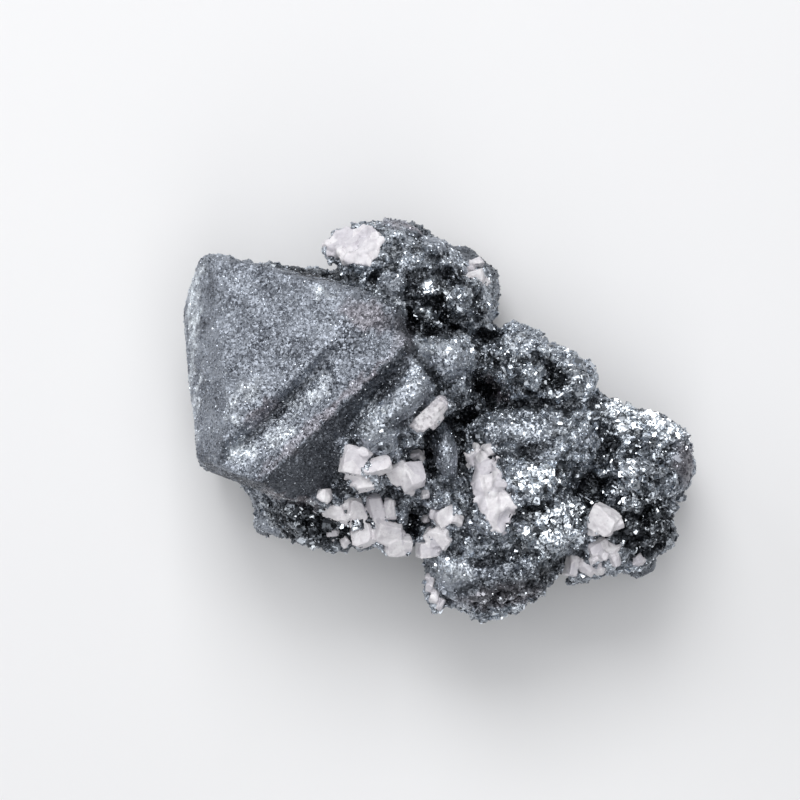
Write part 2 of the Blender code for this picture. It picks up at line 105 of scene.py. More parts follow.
# Rounded lumps on the upper side: middle, half length, half width, turn and rise
LUMPS = {
    "crown_bump": (-0.6, 16.7, 1.2, 1.4, 0, 1.2),
    "crown_left": (-4.3, 17.6, 1.5, 1.1, 12, 0.7),
    "ring_bump": (4.4, 14.2, 0.9, 1.0, 0, 0.9),
    "lobe_dark_ball": (-4.5, 12.6, 1.7, 1.5, 0, 1.4),
    "lobe_bright_ball": (-0.9, 12.5, 1.3, 1.1, 0, 1.2),
    "lobe_low_ball": (-1.2, 9.9, 1.3, 1.1, 0, 1.1),
    "lobe_middle": (2.0, 11.1, 1.6, 1.5, 0, 1.2),
    "lobe_right_column": (4.9, 10.4, 1.0, 2.4, 0, 1.1),
    "lobe_back": (1.4, 14.7, 1.2, 0.9, 0, 0.7),
    "lobe_left_foot": (-6.8, 12.5, 1.1, 0.8, -20, 0.7),
    "middle_block": (0.2, 5.5, 2.7, 2.2, -10, 1.5),
    "second_block": (-3.0, 1.9, 2.7, 1.6, 42, 1.1),
    "third_block": (-5.9, -1.0, 2.1, 1.6, 10, 0.8),
    "left_lump_top": (6.0, 6.2, 1.6, 1.3, -20, 1.2),
    "left_lump_ball": (8.6, 4.0, 1.4, 1.4, 0, 1.5),
    "left_lump_low": (6.1, 3.4, 1.4, 1.0, -45, 1.0),
    "right_lump_top": (11.0, 5.6, 1.6, 1.2, -10, 1.1),
    "right_lump_side": (13.2, 3.9, 1.3, 1.6, 10, 1.0),
    "right_lump_foot": (11.3, 2.4, 1.3, 0.9, 0, 0.8),
    "smooth_column": (0.4, -3.0, 1.3, 2.9, 6, 1.4),
    "face_left": (4.7, -0.7, 2.5, 1.5, 15, 1.0),
    "face_middle": (9.0, -0.2, 2.1, 1.5, 0, 0.8),
    "face_low": (5.7, -3.5, 2.5, 1.1, 10, 0.6),
    "face_right": (13.2, -1.3, 2.3, 1.5, -10, 0.8),
    "plates_top": (18.0, 0.3, 2.5, 1.5, -15, 1.0),
    "plates_right": (21.5, -0.7, 1.9, 1.7, -30, 0.9),
    "plates_middle": (20.3, -4.0, 2.1, 1.7, 0, 0.9),
    "hollow_ridge": (17.7, -6.1, 1.1, 2.9, 0, 0.8),
    "bright_face": (9.4, -6.0, 2.1, 1.1, 0, 0.8),
    "silver_block": (10.6, -10.6, 3.2, 2.3, 20, 1.2),
    "under_white": (3.8, -11.6, 1.9, 1.3, 0, 0.7),
    "lower_block": (1.4, -14.6, 2.5, 1.7, -5, 0.9),
    "lower_shelf": (6.1, -16.3, 3.8, 1.3, 12, 0.7),
    "black_lump": (19.4, -10.1, 2.1, 2.7, 20, 0.8),
    "right_facet": (23.4, -4.9, 0.9, 2.3, 20, 0.5),
    "ledge_left": (-14.7, -9.2, 1.9, 1.5, 0, 0.8),
    "ledge_middle": (-10.9, -10.6, 1.7, 1.1, 0, 0.6),
}

BALLS = (
    "crown_bump", "ring_bump", "lobe_dark_ball", "lobe_bright_ball", "lobe_low_ball", "lobe_middle",
    "lobe_right_column", "left_lump_ball", "smooth_column",
)  # lumps with a furrow round them, sunk and painted dark as shade
FURROW_AT = 1.15  # where it runs, in half lengths from the middle
FURROW_WIDE = 0.18
FURROW_DEPTH = 0.5  # mm
# how dark the painted shade in the furrows is
FURROW_PAINTED_SHADE = 0.5

# Clefts and hollows, the same way: the last number is how far they sink
CLEFTS = {
    "gap_under_lobe": (0.0, 8.2, 3.2, 0.6, 0, 2.4),
    "gap_left": (-3.0, 9.4, 0.5, 1.1, 10, 1.2),
    "crevice": (4.1, 2.4, 1.0, 1.9, 35, 4.0),
    "crevice_right": (7.7, 1.3, 2.5, 0.5, 2, 2.2),
    "notch": (2.1, 0.0, 1.6, 0.8, 20, 3.0),
    "column_left": (-1.1, -3.3, 0.5, 2.6, 6, 2.2),
    "column_right": (2.0, -3.1, 0.5, 2.6, 6, 2.4),
    "lump_split": (10.3, 4.5, 0.5, 2.1, 8, 1.4),
    "lump_hollow": (10.7, 3.6, 1.0, 0.6, 0, 1.2),
    "hollow": (14.2, -6.6, 2.3, 1.3, -10, 1.3),
    "shelf_cleft": (15.1, -7.8, 0.8, 1.3, 30, 1.2),
    "low_pit": (-2.6, -10.3, 0.8, 1.4, 0, 3.0),
    "second_cleft": (-1.1, 4.4, 0.4, 1.9, 38, 1.2),
    "corner_cleft": (-2.4, 6.3, 0.3, 1.2, 20, 1.0),
    "lobe_cleft": (-2.8, 11.8, 0.5, 1.3, 10, 1.1),
    "lobe_cleft_low": (0.0, 10.9, 1.1, 0.4, -10, 1.1),
    "lobe_cleft_right": (3.6, 10.7, 0.4, 1.7, 5, 1.1),
    "lobe_cleft_top": (0.7, 13.8, 1.7, 0.3, -8, 0.8),
    "face_cleft": (7.6, -3.2, 2.9, 0.7, 10, 0.7),
    "step_under_plates": (16.1, -3.0, 0.8, 1.7, -20, 0.8),
    "silver_cleft": (7.6, -8.9, 2.9, 0.7, 15, 0.8),
    "lower_cleft": (5.7, -13.1, 3.2, 0.8, 20, 1.0),
    "right_cleft": (16.1, -11.1, 0.5, 1.5, 10, 1.2),
    "lump_pass": (5.4, 5.0, 0.4, 1.1, -30, 1.0),
    "lobe_to_lump": (4.4, 7.9, 0.9, 0.7, 0, 2.2),
    "step_foot": (-14.9, 0.95, 6.4, 0.5, 44.5, 0.3),
    "beside_second": (-5.9, 2.1, 4.2, 0.4, 45, 0.4),
}
CLEFT_FLOOR = 4.0  # no cleft sinks lower than this

# Places where grains lie turned to the light and gleam, and where a bright painted highlight is laid in their colour:
# middle, half length, half width, turn and share
SILVER_AND_HIGHLIGHT = {
    "left_bevel_corner": (-22.9, 14.0, 0.5, 1.3, -35, 0.7),
    "left_bevel_top": (-23.7, 10.8, 0.7, 4.6, 1, 1.0),
    "left_rim": (-23.8, 1.4, 0.5, 1.7, 0, 1.0),
    "left_rim_low": (-23.2, -1.4, 0.3, 1.2, 0, 0.6),
    "left_bevel_middle": (-23.7, 5.0, 0.3, 3.0, 0, 0.7),
    "left_bevel_streak": (-23.9, 9.0, 0.2, 2.4, 2, 0.9),
    "left_bevel_low": (-22.9, 2.2, 0.2, 2.8, -4, 0.9),
    "low_left_patch": (-18.6, -3.1, 1.4, 1.0, 20, 1.3),
    "step_foot_patch": (-15.2, -1.8, 1.6, 0.8, 40, 1.3),
    "step_patch": (-11.6, 2.2, 1.0, 0.8, 40, 1.3),
    "upper_streak": (-10.9, 11.7, 1.1, 0.3, -25, 0.9),
    "front_patch": (-18.3, 2.3, 1.9, 0.9, 35, 0.45),
    "front_patch_low": (-19.6, 0.2, 0.9, 0.7, 0, 0.5),
    "second_crystal_top": (-2.4, 3.4, 1.0, 0.5, 40, 0.5),
    "second_crystal_foot": (-6.6, 0.6, 0.9, 1.3, 0, 0.6),
    "second_crystal_face": (-5.0, 1.0, 0.8, 0.4, 35, 1.2),
    "third_crystal": (-5.9, -2.1, 1.5, 1.0, 0, 0.3),
    "band": (-13.2, 1.4, 5.0, 0.6, 44, 0.35),
    "lower_line": (-13.8, -7.75, 3.0, 0.25, -16, 0.8),
    "middle_crystal_top": (-0.3, 6.9, 2.2, 0.7, 0, 0.6),
    "top_lobe_bright": (-0.7, 12.4, 1.1, 0.8, 0, 1.5),
    "top_lobe_side": (2.2, 11.2, 0.8, 1.3, 0, 0.5),
    "top_lobe_crown": (-3.6, 15.9, 3.2, 1.6, 0, 0.4),
    "gap_spark": (-1.4, 9.7, 0.6, 0.5, 0, 1.2),
    "left_lump_rim": (6.2, 3.2, 0.7, 1.3, 40, 0.4),
    "left_lump_ball": (8.5, 3.9, 1.3, 1.3, 0, 0.5),
    "left_lump_body": (6.8, 4.8, 2.4, 2.2, 0, 0.5),
    "silver_plate": (9.7, 6.3, 0.6, 0.5, 0, 1.5),
    "right_lump_specks": (13.0, 3.6, 2.4, 2.0, 0, 0.5),
    "upper_face": (9.0, -0.4, 5.5, 1.7, 0, 0.4),
    "right_face": (9.4, -5.8, 2.4, 1.4, 5, 1.7),
    "silver_lump": (10.6, -10.6, 3.6, 2.4, 20, 0.8),
    "silver_lump_top": (12.0, -8.9, 1.6, 0.9, 20, 1.3),
    "hollow_streak": (17.8, -5.9, 0.9, 2.9, 0, 0.8),
    "right_plates": (19.6, -0.1, 4.3, 2.0, -15, 1.1),
    "right_plates_low": (18.4, -3.2, 2.4, 1.0, 0, 0.3),
    "lower_crystal": (1.3, -14.4, 2.0, 1.3, 0, 0.7),
    "lump_right": (6.3, 5.6, 1.4, 1.2, -20, 0.3),
    "lobe_right": (4.6, 10.6, 0.7, 2.0, 0, 0.5),
}

# Places with a rosy or brown cast, the same way
WARM = {
    "crest_end": (-3.4, 7.8, 1.0, 1.6, 10, 0.3),
    "crest": (-10.6, 0.4, 9.0, 0.5, 43, 0.4),
    "high_face": (-6.8, 9.6, 2.4, 1.4, -20, 0.5),
    "low_step": (-16.6, 0.6, 2.0, 0.7, 40, 0.4),
    "lower_rim": (-13.8, -7.75, 3.2, 0.4, -16, 0.9),
    "lump_rim": (5.4, 2.6, 0.8, 1.8, 45, 0.8),
    "right_facet": (23.6, -4.4, 1.3, 2.6, 15, 0.5),
    "low_face": (6.0, -16.8, 4.5, 1.2, 10, 0.6),
    "crown_rim": (-2.0, 18.6, 4.5, 0.8, -8, 0.6),
}

# Where the grains are coarse, the same way
COARSE = {
    "right_end": (19.5, -4.5, 5.5, 7.5, 0, 1.0),
    "silver_lump": (11.0, -9.5, 4.0, 3.5, 20, 0.8),
    "right_face": (9.4, -5.8, 2.4, 1.4, 5, 0.7),
    "lobe_ball": (-0.7, 12.4, 1.1, 0.8, 0, 0.5),
    "right_lump": (12.0, 4.5, 3.5, 3.0, 0, 0.45),
    "left_lump": (7.0, 5.0, 2.5, 2.5, 0, 0.2),
    "ledge": (-12.5, -10.2, 7.0, 2.5, 0, 0.9),
    "lower_rim": (7.0, -17.6, 5.5, 1.3, 12, 0.8),
    "lobe_foot": (-0.5, 10.8, 5.5, 3.0, 0, 0.1),
}

# Places with hardly any knobs, the same way
SMOOTH_PLACES = {
    "middle_block": (0.2, 5.5, 2.7, 2.2, -10, 0.8),
    "second_block": (-3.4, 1.6, 3.6, 2.0, 42, 0.9),
    "third_block": (-5.9, -1.5, 2.4, 2.0, 10, 0.7),
    "column": (0.4, -3.0, 1.2, 3.0, 8, 1.0),
    "crown": (-0.6, 16.7, 1.4, 1.5, 0, 1.0),
    "crown_rim": (-1.5, 18.2, 4.2, 0.8, -8, 0.8),
    "lobe_rim": (5.4, 11.4, 0.9, 3.2, 0, 0.6),
    "upper_face": (7.5, -0.8, 4.5, 2.2, 5, 0.6),
    "right_facet": (23.6, -4.9, 1.2, 2.6, 20, 1.0),
    "lower_block": (3.0, -15.4, 5.0, 2.0, 8, 1.0),
    "lobe_ball": (-4.5, 12.6, 1.5, 1.3, 0, 0.7),
    "low_ball": (-1.2, 9.9, 1.2, 1.0, 0, 0.5),
}

# Places painted dark as shade, the same way
PAINTED_SHADE_PLACES = {
    "back_rim": (-12.3, 14.0, 3.8, 0.7, -14, 0.9),
    "lobe_side": (-1.5, 11.2, 6.5, 3.0, 0, 0.35),
    "second_low": (-6.6, -0.7, 2.6, 0.5, 10, 0.5),
    "right_lump": (11.8, 3.6, 2.2, 1.6, 0, 0.35),
    "step_riser": (-15.0, 1.3, 6.4, 0.5, 43.5, 0.3),
    "beside_second": (-6.2, 2.5, 4.6, 1.0, 45, 0.6),
    "lobe_foot": (-1.0, 9.2, 4.5, 1.6, 0, 0.6),
    "lower_right": (19.6, -10.4, 3.2, 3.8, 20, 0.92),
    "hollow": (14.6, -6.8, 2.8, 1.7, 0, 0.6),
    "ledge": (-12.5, -10.2, 7.0, 2.3, 0, 0.85),
    "plates_low": (19.4, -4.2, 2.8, 1.3, 0, 0.45),
    "right_facet": (23.6, -4.6, 1.1, 2.6, 15, 0.35),
    "lower_face": (6.6, -16.0, 4.8, 1.5, 10, 0.7),
    "lower_rim": (10.5, -14.0, 2.4, 1.2, 30, 0.7),
    "above_notch": (2.4, 0.9, 2.2, 1.4, 0, 0.6),
}

# The clefts are painted dark as shade
CLEFTS_PAINTED_SHADE = {name: (*place, 0.6) for name, (*place, _) in CLEFTS.items()}

# Blocks of white mineral in each group, seen from above: middle, length, width and turn
CHIPS = {
    "white_top_patch": (
        (-10.5, 16.5, 1.3, 0.9, 20), (-9.4, 17.3, 1.5, 1.1, 40), (-8.4, 16.4, 1.7, 1.3, 10),
        (-8.0, 17.7, 1.5, 1.1, 60), (-6.8, 17.9, 1.3, 1.0, 15), (-6.1, 16.9, 1.2, 1.1, 75),
        (-7.0, 16.3, 1.5, 1.2, 35), (-7.6, 15.0, 1.3, 1.1, 0), (-8.6, 15.1, 1.1, 0.9, 45),
        (-6.4, 15.7, 1.1, 0.9, 60), (-9.5, 15.9, 1.1, 0.9, 80),
    ),
    "white_top_chunk": (
        (3.6, 14.9, 1.2, 0.9, 20), (3.0, 14.1, 0.8, 0.9, 60), (3.4, 13.3, 1.8, 1.4, 15), (4.4, 13.1, 0.9, 0.9, 45),
    ),
    "white_blade": (
        (-1.0, 0.3, 3.7, 1.5, 43), (0.0, 1.3, 1.4, 1.4, 36), (-2.0, -0.6, 1.4, 1.3, 52), (-0.7, 0.1, 1.8, 1.7, 48),
    ),
    "white_upper_left": (
        (-8.1, -3.9, 2.6, 2.2, 80), (-6.1, -4.5, 2.9, 1.5, 15), (-6.9, -6.1, 2.3, 1.5, 12), (-8.2, -5.4, 1.3, 0.9, -20),
    ),
    "white_middle_left": (
        (-3.9, -5.2, 1.8, 2.0, 15), (-2.6, -5.5, 2.0, 2.4, 5), (-2.5, -3.6, 1.7, 1.1, 12),
        (-2.9, -6.8, 1.0, 0.8, 0), (-1.4, -7.2, 0.7, 0.9, 10),
    ),
    "white_low_row": (
        (-10.9, -7.3, 1.2, 1.2, 0), (-10.1, -9.1, 2.2, 2.4, 15), (-8.0, -8.8, 1.8, 2.6, 10),
        (-6.0, -8.8, 1.6, 3.2, 20), (-4.7, -8.5, 0.9, 1.9, 5), (-7.2, -11.2, 2.0, 2.1, 20),
        (-4.8, -10.9, 2.8, 2.2, -10), (-4.0, -12.1, 2.4, 1.8, -5), (-10.2, -10.9, 1.2, 0.7, 5),
        (-9.0, -11.8, 1.0, 0.9, 40),
    ),
    "white_lower_middle": (
        (-1.2, -9.6, 0.8, 0.8, 10), (0.4, -9.5, 2.1, 1.9, 30), (1.6, -9.6, 1.2, 1.1, 60),
        (-0.2, -11.2, 2.4, 1.7, 15), (-0.7, -12.5, 2.9, 1.4, 5),
    ),
    "white_centre": (
        (3.6, -3.2, 1.5, 1.1, 70), (4.7, -3.0, 1.3, 1.1, 10), (3.2, -4.5, 1.3, 1.1, 30),
        (4.4, -4.5, 1.7, 1.4, 50), (5.5, -4.5, 1.1, 0.9, 20), (3.8, -6.0, 1.5, 1.3, 60),
        (4.9, -6.2, 1.7, 1.3, 10), (6.1, -6.0, 1.1, 0.9, 75), (3.9, -7.5, 1.3, 1.1, 35),
        (5.2, -7.7, 1.5, 1.1, 80), (6.2, -7.2, 0.9, 0.9, 15), (4.7, -9.1, 1.3, 1.1, 40),
        (5.6, -9.1, 1.0, 0.9, 0), (5.1, -10.2, 1.1, 0.9, 60), (5.8, -10.7, 0.9, 0.8, 25),
    ),
    "white_front_sliver": (
        (-0.9, -16.0, 1.3, 0.7, 75), (-0.5, -17.1, 1.5, 0.8, 70), (0.1, -17.9, 1.3, 0.7, 60),
        (1.0, -18.4, 0.9, 0.6, 30), (-1.0, -15.3, 0.8, 0.6, 80),
    ),
    "white_right_lower": (
        (15.0, -12.4, 1.9, 1.8, 20), (16.2, -12.6, 1.9, 1.7, 60), (16.7, -13.5, 1.1, 1.1, 10),
        (14.0, -14.3, 1.9, 1.2, -25), (15.3, -14.4, 1.1, 0.9, 40), (12.6, -14.1, 1.1, 1.9, -15),
        (19.1, -13.6, 1.2, 1.1, 30),
    ),
    "white_right_upper": ((15.5, -9.7, 2.6, 2.4, -28), (14.6, -10.8, 0.9, 0.7, 10)),
}
CHIP_GROW = 1.02
CHIP_UNEVEN = 0.2  # how far the share varies that stands over it
CHIP_THICK = 1.6
CHIP_STAND = 0.4  # the share of a chip's thickness that stands over what carries it
CHIP_TILT = 26.0  # degrees
CORNER_CUTS = 7  # corners broken off each chip
CUT_AT = (0.74, 0.95)  # where each is cut, as a share of the way to the corner
BARS = ("white_blade",)  # groups whose chips lie flat in a row
BAR_TILT = 6.0

# Groups that lie on the surface as a sheet: its outline seen from above
SHEETS = {
    "white_top_patch": (
        (-11.2, 16.6), (-9.8, 17.9), (-8.0, 18.4), (-6.4, 18.4), (-5.6, 17.6), (-5.2, 16.7), (-5.5, 15.7),
        (-6.2, 14.8), (-6.5, 14.3), (-7.6, 14.3), (-8.8, 14.6), (-9.9, 15.1), (-10.8, 15.3),
    ),
    "white_centre": (
        (2.2, -3.1), (3.2, -2.8), (5.1, -3.8), (5.9, -5.4), (6.4, -7.4), (7.4, -8.3), (6.7, -9.7), (5.8, -11.0),
        (4.8, -10.9), (4.2, -9.3), (3.2, -7.9), (3.0, -5.9), (3.3, -4.5), (2.4, -4.2),
    ),
}
SHEET_THICK = 0.5
SHEET_RAGGED = 0.5  # how far its edge strays
SHEET_STEPS = 70  # points along each side before it is trimmed
SHEET_HANG = 3.5  # how far its rim may hang below its middle
SHEET_STAND = 0.08  # the share of a chip's thickness that stands over its sheet

# Unit shapes of the grains: an eight-faced one and a tapering tablet
OCTAHEDRON_POINTS = ((1, 0, 0), (0, 1, 0), (-1, 0, 0), (0, -1, 0), (0, 0, 1), (0, 0, -1))
OCTAHEDRON_FACES = ((0, 1, 4), (1, 2, 4), (2, 3, 4), (3, 0, 4), (1, 0, 5), (2, 1, 5), (3, 2, 5), (0, 3, 5))
TABLET_POINTS = (
    (1, 0.7, -1), (-0.8, 1, -1), (-1, -0.8, -1), (0.9, -1, -1),
    (0.8, 0.55, 1), (-0.65, 0.85, 1), (-0.8, -0.6, 1), (0.7, -0.8, 1),
)
TABLET_FACES = ((0, 3, 2, 1), (4, 5, 6, 7), (0, 1, 5, 4), (1, 2, 6, 5), (2, 3, 7, 6), (3, 0, 4, 7))

WANDER_SEED = 5
SKIN_GRAIN = 0.2
GLINTS = 0.09  # the share of the rough ground's grains that gleam wherever they are: turned to the key light, with a painted highlight in their colour
CALM_GLINTS = 0.03  # the same on the large crystal
GRAIN_UNEVEN = 0.13  # how far a grain's corners stray, as a share of its reach
GRAIN_FLOOR = 0.5  # no grain lower than this
GRAIN_TOP = 25.7  # nor higher than this
BODY_MOST_FACES = 190000


# Working with pieces


def select_only(thing):
    bpy.ops.object.select_all(action="DESELECT")
    thing.select_set(True)
    bpy.context.view_layer.objects.active = thing


def modify(thing, kind, **settings):
    """Adds a modifier with these settings and applies it."""
    select_only(thing)
    added = thing.modifiers.new(kind.title(), kind)
    for name, value in settings.items():
        setattr(added, name, value)
    bpy.ops.object.modifier_apply(modifier=added.name)


def relief(thing, name, kind, size, strength, group="", middle=0.5, **settings):
    """Raises and sinks a surface by a procedural pattern whose features are about this size."""
    pattern = bpy.data.textures.new(name, kind)
    pattern.noise_scale = size
    for setting, value in settings.items():
        setattr(pattern, setting, value)
    modify(
        thing, "DISPLACE", texture=pattern, texture_coords="LOCAL", strength=strength, mid_level=middle,
        vertex_group=group,
    )


def copy_of(node, name):
    """A node's shape as a new piece in millimetres, its loose triangles merged."""
    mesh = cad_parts[node].data.copy()
    mesh.transform(Matrix.Scale(1 / MM, 4))
    thing = bpy.data.objects.new(name, mesh)
    thing.data.materials.clear()
    bpy.context.scene.collection.objects.link(thing)
    modify(thing, "WELD", merge_threshold=0.001)
    return thing


def join(first, others):
    select_only(first)
    for other in others:
        other.select_set(True)
    bpy.ops.object.join()


def to_metres(thing):
    thing.scale = (MM, MM, MM)
    select_only(thing)
    bpy.ops.object.transform_apply(location=True, rotation=True, scale=True)


def points_of(thing):
    flat = np.empty(len(thing.data.vertices) * 3, np.float32)
    thing.data.vertices.foreach_get("co", flat)
    return flat.reshape(-1, 3).astype(float)


def set_points(thing, points):
    thing.data.vertices.foreach_set("co", points.astype(np.float32).ravel())
    thing.data.update()


def set_share(thing, name, values):
    """Keeps a value from 0 to 1 for each vertex, for the material to read."""
    kept = thing.data.attributes.new(name, "FLOAT", "POINT")
    kept.data.foreach_set("value", values.astype(np.float32))


def set_group(thing, name, values):
    """A vertex group, with the weights in steps of a twentieth."""
    group = thing.vertex_groups.new(name=name)
    steps = np.round(values * 20).astype(int)
    for step in range(1, 21):
        group.add(np.nonzero(steps == step)[0].tolist(), step / 20, "REPLACE")


# Where things are on the specimen


def ease(low, high, values):
    part = np.clip((values - low) / (high - low), 0, 1)
    return part * part * (3 - 2 * part)


def depth_inside(outline, points):
    """How far each point, seen from above, is inside an outline. Negative outside it."""
    corners = np.array(outline, float)
    ends = np.roll(corners, -1, axis=0)
    x, y = points[:, 0], points[:, 1]
    nearest = np.full(len(points), np.inf)
    inside = np.zeros(len(points), bool)
    for (ax, ay), (bx, by) in zip(corners, ends):
        run = (bx - ax, by - ay)
        along = ((x - ax) * run[0] + (y - ay) * run[1]) / (run[0] ** 2 + run[1] ** 2)
        along = np.clip(along, 0, 1)
        nearest = np.minimum(nearest, np.hypot(x - ax - along * run[0], y - ay - along * run[1]))
        crosses = (ay > y) != (by > y)
        with np.errstate(divide="ignore", invalid="ignore"):
            inside ^= crosses & (x < (bx - ax) * (y - ay) / (by - ay) + ax)
    return np.where(inside, nearest, -nearest)


def smooth_share(points):
    """1 on the large crystal and 0 on the rough growth round it."""
    return ease(-0.4, 0.5, depth_inside(LARGE_OUTLINE, points)) * ease(LARGE_FOOT, LARGE_FOOT + 2, points[:, 2])


def wander(points, size, seed):
    """A smooth random vector for each point, which changes over this size."""
    shift = Vector((seed * 7.3, seed * 3.1, seed * 5.7))
    return np.array([noise.noise_vector(Vector(point) / size + shift) for point in points])


def away_from(place, points):
    """How far each point is from a place's middle, where its rim is at 1."""
    x, y, length, width, turn = place
    across, up = points[:, 0] - x, points[:, 1] - y
    cos, sin = math.cos(math.radians(turn)), math.sin(math.radians(turn))
    return np.hypot((across * cos + up * sin) / length, (up * cos - across * sin) / width)


def low_share(points):
    """1 on the knobbly growth under the upper side."""
    return (1 - smooth_share(points)) * (1 - ease(8, 12, points[:, 2]))


def calm_share(points):
    """How smooth the growth is: its smooth places above, and patches lower down."""
    patches = LOW_CALM * low_share(points) * ease(-0.05, 0.15, wander(points, LOW_PATCH, 4)[:, 0])
    return np.maximum(zone_share(SMOOTH_PLACES, points, ragged(points) * 0.5), patches)


def wild_share(points):
    """1 on the knobbly ground, less on its smooth places, and 0 on the large crystal."""
    return (1 - smooth_share(points)) * (1 - 0.75 * calm_share(points))


def zone_share(zones, points, drift):
    """How far each point belongs to the named places, whose edges are ragged."""
    share = np.zeros(len(points))
    for *place, most in zones.values():
        share = np.maximum(share, most * (1 - ease(0.6, 1.3, away_from(place, points + drift))))
    return share * ease(8, 12, points[:, 2])


def ragged(points):
    return np.hstack([wander(points, 0.9, 1)[:, :2] * 0.8, np.zeros((len(points), 1))])


def silver_and_highlight_share(points, depth):
    """The shining places with their painted highlight, broken up into flecks, and a painted highlight on the tops of
    the knobs.
    """
    flecks = ease(-0.16, 0.08, wander(points, 0.55, 3)[:, 0])
    # A painted highlight on the tops of the knobs
    tops = TOP_PAINTED_HIGHLIGHT * ease(HOLLOW_FROM, HOLLOW_TO, -depth) * wild_share(points)
    places = zone_share(SILVER_AND_HIGHLIGHT, points, ragged(points)) * (0.25 + 0.75 * flecks)
    return np.clip(np.maximum(places, tops), 0, 1)


def warm_share(points):
    return zone_share(WARM, points, ragged(points))


def hollow_share(points, depth):
    """1 where a point lies deep in a hollow of the skin."""
    return ease(HOLLOW_FROM, HOLLOW_TO, depth) * (1 - (1 - HOLLOW_ON_CRYSTAL) * smooth_share(points))


def furrow_share(points):
    """1 along the furrows round the balls."""
    share = np.zeros(len(points))
    for name in BALLS:
        off = (away_from(LUMPS[name][:5], points) - FURROW_AT) / FURROW_WIDE
        share = np.maximum(share, np.exp(-off * off))
    return share * ease(8, 12, points[:, 2])


def dark_share(points, normals, depth):
    """Mostly painted shade: the dark places, the clefts and the furrows, the large crystal's faces that lean away from
    the light, and the hollows; lower down, random darker patches too.
    """
    drift = ragged(points)
    # Painted shade on the large crystal's faces that lean away from the light, lifted on its step
    turned = ease(0.15, 0.45, normals @ np.array(direction(SHADED_BEARING, 0)))
    shaded = SHADED_SHARE * turned * smooth_share(points) * (1 - ease(0.1, 0.5, -normals[:, 2]))
    shaded *= 1 - STEP_LIGHTER * (1 - ease(0.6, 1.3, away_from(STEP, points)))
    # Painted shade in the dark places and the clefts
    dark = np.maximum(zone_share(PAINTED_SHADE_PLACES, points, drift), zone_share(CLEFTS_PAINTED_SHADE, points, drift * 0.5))
    # Painted shade in the furrows round the balls
    dark = np.maximum(dark, FURROW_PAINTED_SHADE * furrow_share(points + drift * 0.4))
    low = LOW_DARK * low_share(points) * ease(-0.05, 0.2, wander(points, LOW_PATCH, 5)[:, 1])
    dark = np.maximum(np.maximum(dark, low), shaded) * (1 - silver_and_highlight_share(points, depth))
    # Painted shade, deeper in the hollows of the skin
    return 1 - (1 - dark) * (1 - HOLLOW_PAINTED_SHADE * hollow_share(points, depth))


# Studio


def direction(bearing, height):
    flat = math.cos(math.radians(height))
    turn = math.radians(bearing)
    return Vector((flat * math.cos(turn), flat * math.sin(turn), math.sin(math.radians(height))))


def soft_box(name, bearing, height, away, side, power):
    towards = direction(bearing, height)
    bpy.ops.object.light_add(type="AREA", location=towards * away * MM)
    lamp = bpy.context.object
    lamp.name = name
    lamp.rotation_euler = towards.to_track_quat("Z", "Y").to_euler()
    lamp.data.shape = "SQUARE"
    lamp.data.size = side * MM
    lamp.data.energy = power


def make_camera():
    data = bpy.data.cameras.new("camera")
    data.lens = LENS
    data.sensor_width = SENSOR
    data.clip_start = 0.01
    camera = bpy.data.objects.new("camera", data)
    camera.location = Vector(CAMERA_PLACE) * MM
    bpy.context.scene.collection.objects.link(camera)
    bpy.context.scene.camera = camera


def make_floor():
    """A round floor whose rim rises in a soft curve."""
    bpy.ops.object.select_all(action="DESELECT")
    bpy.ops.mesh.primitive_circle_add(vertices=96, radius=FLOOR_REACH, fill_type="NGON")
    floor = bpy.context.object
    floor.name = "floor"
    bpy.ops.object.mode_set(mode="EDIT")
    bpy.ops.mesh.select_mode(type="EDGE")
    bpy.ops.mesh.select_all(action="DESELECT")
    bpy.ops.mesh.select_non_manifold()
    reach, height = FLOOR_REACH, 0
    for next_reach, next_height in COVE:
        bpy.ops.mesh.extrude_edges_move(TRANSFORM_OT_translate={"value": (0, 0, next_height - height)})
        grow = next_reach / reach
        bpy.ops.transform.resize(value=(grow, grow, 1))
        reach, height = next_reach, next_height
    bpy.ops.object.mode_set(mode="OBJECT")
    bpy.ops.object.shade_smooth()
    to_metres(floor)
    floor.data.materials.append(floor_finish())


def make_studio():
    soft_box("key_light", **KEY_LIGHT)
    soft_box("top_light", **TOP_LIGHT)
    soft_box("left_light", **LEFT_LIGHT)
    soft_box("front_light", **FRONT_LIGHT)
    world = bpy.data.worlds.new("studio")
    bpy.context.scene.world = world
    world.use_nodes = True
    world.node_tree.nodes["Background"].inputs["Color"].default_value = (*ROOM_LIGHT, 1)
    bpy.context.scene.view_settings.view_transform = "Standard"
    make_floor()
    make_camera()


# Finishes


